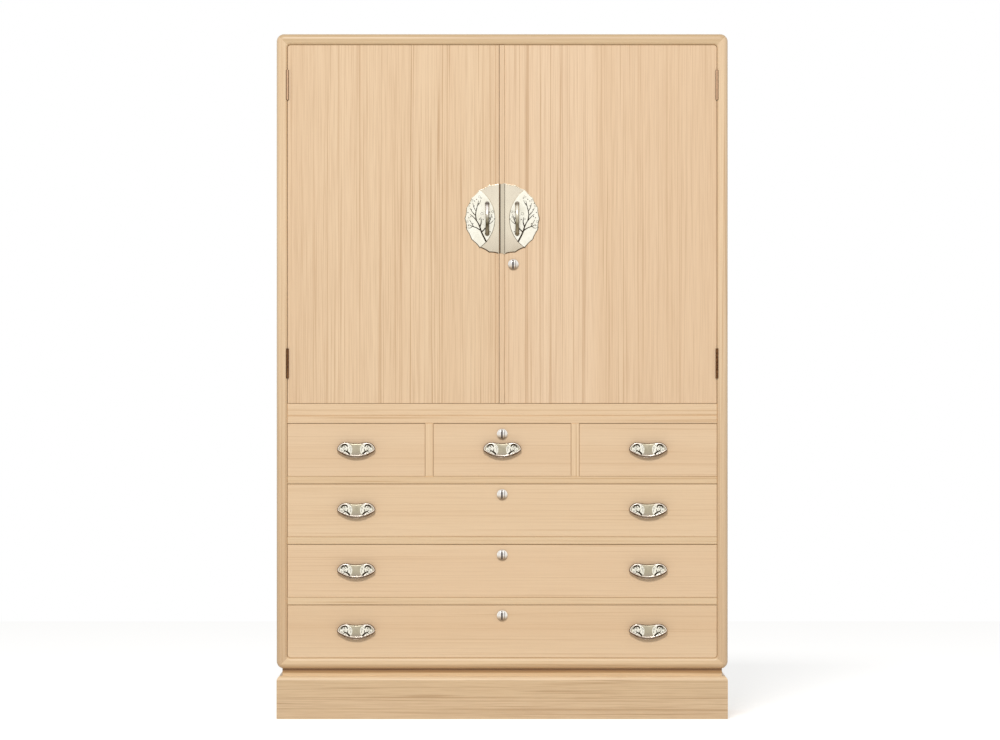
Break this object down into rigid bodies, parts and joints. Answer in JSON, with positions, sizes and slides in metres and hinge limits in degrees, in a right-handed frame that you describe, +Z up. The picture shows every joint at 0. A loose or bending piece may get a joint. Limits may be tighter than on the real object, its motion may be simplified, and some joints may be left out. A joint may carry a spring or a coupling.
{
  "type": "clothing chest",
  "caption": "Two-section clothing chest on a plinth: a pair of hinged doors over clothes trays, above small and wide sliding drawers, with cup pulls, bow pulls and bolt locks.",
  "frame": {"origin": "on the floor, under the middle of the case's width and depth (the plinth stretcher's underside)", "axes": "+X to the right seen from the front, +Y from the front to the back, +Z up"},
  "size_m": [1.1, 0.4677, 1.67],
  "materials": {
    "case_wood": "straight-grained veneer under clear satin lacquer",
    "door_wood": "vertical straight-grained veneer under clear satin lacquer",
    "drawer_wood": "horizontal straight-grained veneer under clear satin lacquer",
    "plinth_wood": "horizontal straight-grained veneer under clear satin lacquer",
    "paulownia": "planed bare paulownia",
    "plate_metal": "silver-plated brass, satin",
    "pull_metal": "silver-plated casting, toned grey",
    "lock_metal": "silver-plated brass",
    "bolt_brass": "plain brass",
    "hinge_bronze": "brown bronze"
  },
  "bodies": {
    "case": {"plinth_front_board": "plinth_wood", "plinth_frame": "plinth_wood", "neck_frame": "plinth_wood", "lower_left_side": "case_wood", "lower_right_side": "case_wood", "lower_bottom_board": "case_wood", "lower_top_frame": "case_wood", "lower_back_panel": "paulownia", "drawer_shelves": "case_wood", "small_row_dividers": "case_wood", "upper_left_side": "case_wood", "upper_right_side": "case_wood", "upper_top_board": "case_wood", "upper_floor_board": "case_wood", "upper_back_panel": "paulownia", "tray_battens": "paulownia", "clothes_trays": "paulownia", "case_hinge_leaves": "hinge_bronze"},
    "left_door": {"left_door_panel": "door_wood", "left_door_plate": "plate_metal", "left_door_pull": "pull_metal", "left_door_hinge_leaves": "hinge_bronze"},
    "right_door": {"right_door_panel": "door_wood", "meeting_strip": "door_wood", "right_door_plate": "plate_metal", "right_door_pull": "pull_metal", "right_door_hinge_leaves": "hinge_bronze", "door_lock": "lock_metal"},
    "door_key_plug": {"door_key_plug": "lock_metal"},
    "door_bolt": {"door_bolt": "bolt_brass"},
    "small_left_drawer": {"small_left_front": "drawer_wood", "small_left_box": "paulownia", "small_left_pull": "pull_metal"},
    "small_middle_drawer": {"small_middle_front": "drawer_wood", "small_middle_box": "paulownia", "small_middle_pull": "pull_metal", "small_middle_lock": "lock_metal"},
    "small_middle_key_plug": {"small_middle_key_plug": "lock_metal"},
    "small_middle_bolt": {"small_middle_bolt": "bolt_brass"},
    "small_right_drawer": {"small_right_front": "drawer_wood", "small_right_box": "paulownia", "small_right_pull": "pull_metal"},
    "wide_lower_drawer": {"wide_lower_front": "drawer_wood", "wide_lower_box": "paulownia", "wide_lower_pulls": "pull_metal", "wide_lower_lock": "lock_metal"},
    "wide_lower_key_plug": {"wide_lower_key_plug": "lock_metal"},
    "wide_lower_bolt": {"wide_lower_bolt": "bolt_brass"},
    "wide_middle_drawer": {"wide_middle_front": "drawer_wood", "wide_middle_box": "paulownia", "wide_middle_pulls": "pull_metal", "wide_middle_lock": "lock_metal"},
    "wide_middle_key_plug": {"wide_middle_key_plug": "lock_metal"},
    "wide_middle_bolt": {"wide_middle_bolt": "bolt_brass"},
    "wide_upper_drawer": {"wide_upper_front": "drawer_wood", "wide_upper_box": "paulownia", "wide_upper_pulls": "pull_metal", "wide_upper_lock": "lock_metal"},
    "wide_upper_key_plug": {"wide_upper_key_plug": "lock_metal"},
    "wide_upper_bolt": {"wide_upper_bolt": "bolt_brass"}
  },
  "joints": [
    {"name": "left_door_swing", "type": "hinge", "parent": "case", "child": "left_door", "pos_m": [-0.5236, -0.222, 1.22], "axis": [0, 0, -1], "range_deg": [0, 160]},
    {"name": "right_door_swing", "type": "hinge", "parent": "case", "child": "right_door", "pos_m": [0.5236, -0.222, 1.22], "axis": [0, 0, 1], "range_deg": [0, 160]},
    {"name": "door_key_turn", "type": "hinge", "parent": "right_door", "child": "door_key_plug", "pos_m": [0.027, -0.22, 1.1085], "axis": [0, 1, 0], "range_deg": [0, 90]},
    {"name": "door_bolt_slide", "type": "slide", "parent": "right_door", "child": "door_bolt", "axis": [-1, 0, 0], "range_m": [0, 0.008]},
    {"name": "small_left_drawer_slide", "type": "slide", "parent": "case", "child": "small_left_drawer", "axis": [0, -1, 0], "range_m": [0, 0.32]},
    {"name": "small_middle_drawer_slide", "type": "slide", "parent": "case", "child": "small_middle_drawer", "axis": [0, -1, 0], "range_m": [0, 0.32]},
    {"name": "small_middle_key_turn", "type": "hinge", "parent": "small_middle_drawer", "child": "small_middle_key_plug", "pos_m": [0, -0.22, 0.695], "axis": [0, 1, 0], "range_deg": [0, 90]},
    {"name": "small_middle_bolt_slide", "type": "slide", "parent": "small_middle_drawer", "child": "small_middle_bolt", "axis": [0, 0, 1], "range_m": [0, 0.008]},
    {"name": "small_right_drawer_slide", "type": "slide", "parent": "case", "child": "small_right_drawer", "axis": [0, -1, 0], "range_m": [0, 0.32]},
    {"name": "wide_lower_drawer_slide", "type": "slide", "parent": "case", "child": "wide_lower_drawer", "axis": [0, -1, 0], "range_m": [0, 0.32]},
    {"name": "wide_lower_key_turn", "type": "hinge", "parent": "wide_lower_drawer", "child": "wide_lower_key_plug", "pos_m": [0, -0.22, 0.2525], "axis": [0, 1, 0], "range_deg": [0, 90]},
    {"name": "wide_lower_bolt_slide", "type": "slide", "parent": "wide_lower_drawer", "child": "wide_lower_bolt", "axis": [0, 0, 1], "range_m": [0, 0.008]},
    {"name": "wide_middle_drawer_slide", "type": "slide", "parent": "case", "child": "wide_middle_drawer", "axis": [0, -1, 0], "range_m": [0, 0.32]},
    {"name": "wide_middle_key_turn", "type": "hinge", "parent": "wide_middle_drawer", "child": "wide_middle_key_plug", "pos_m": [0, -0.22, 0.4], "axis": [0, 1, 0], "range_deg": [0, 90]},
    {"name": "wide_middle_bolt_slide", "type": "slide", "parent": "wide_middle_drawer", "child": "wide_middle_bolt", "axis": [0, 0, 1], "range_m": [0, 0.008]},
    {"name": "wide_upper_drawer_slide", "type": "slide", "parent": "case", "child": "wide_upper_drawer", "axis": [0, -1, 0], "range_m": [0, 0.32]},
    {"name": "wide_upper_key_turn", "type": "hinge", "parent": "wide_upper_drawer", "child": "wide_upper_key_plug", "pos_m": [0, -0.22, 0.5475], "axis": [0, 1, 0], "range_deg": [0, 90]},
    {"name": "wide_upper_bolt_slide", "type": "slide", "parent": "wide_upper_drawer", "child": "wide_upper_bolt", "axis": [0, 0, 1], "range_m": [0, 0.008]}
  ],
  "couplings": [
    {"joint": "door_bolt_slide", "follows": "door_key_turn", "m_per_rad": 0.005},
    {"joint": "small_middle_bolt_slide", "follows": "small_middle_key_turn", "m_per_rad": 0.005},
    {"joint": "wide_lower_bolt_slide", "follows": "wide_lower_key_turn", "m_per_rad": 0.005},
    {"joint": "wide_middle_bolt_slide", "follows": "wide_middle_key_turn", "m_per_rad": 0.005},
    {"joint": "wide_upper_bolt_slide", "follows": "wide_upper_key_turn", "m_per_rad": 0.005}
  ]
}
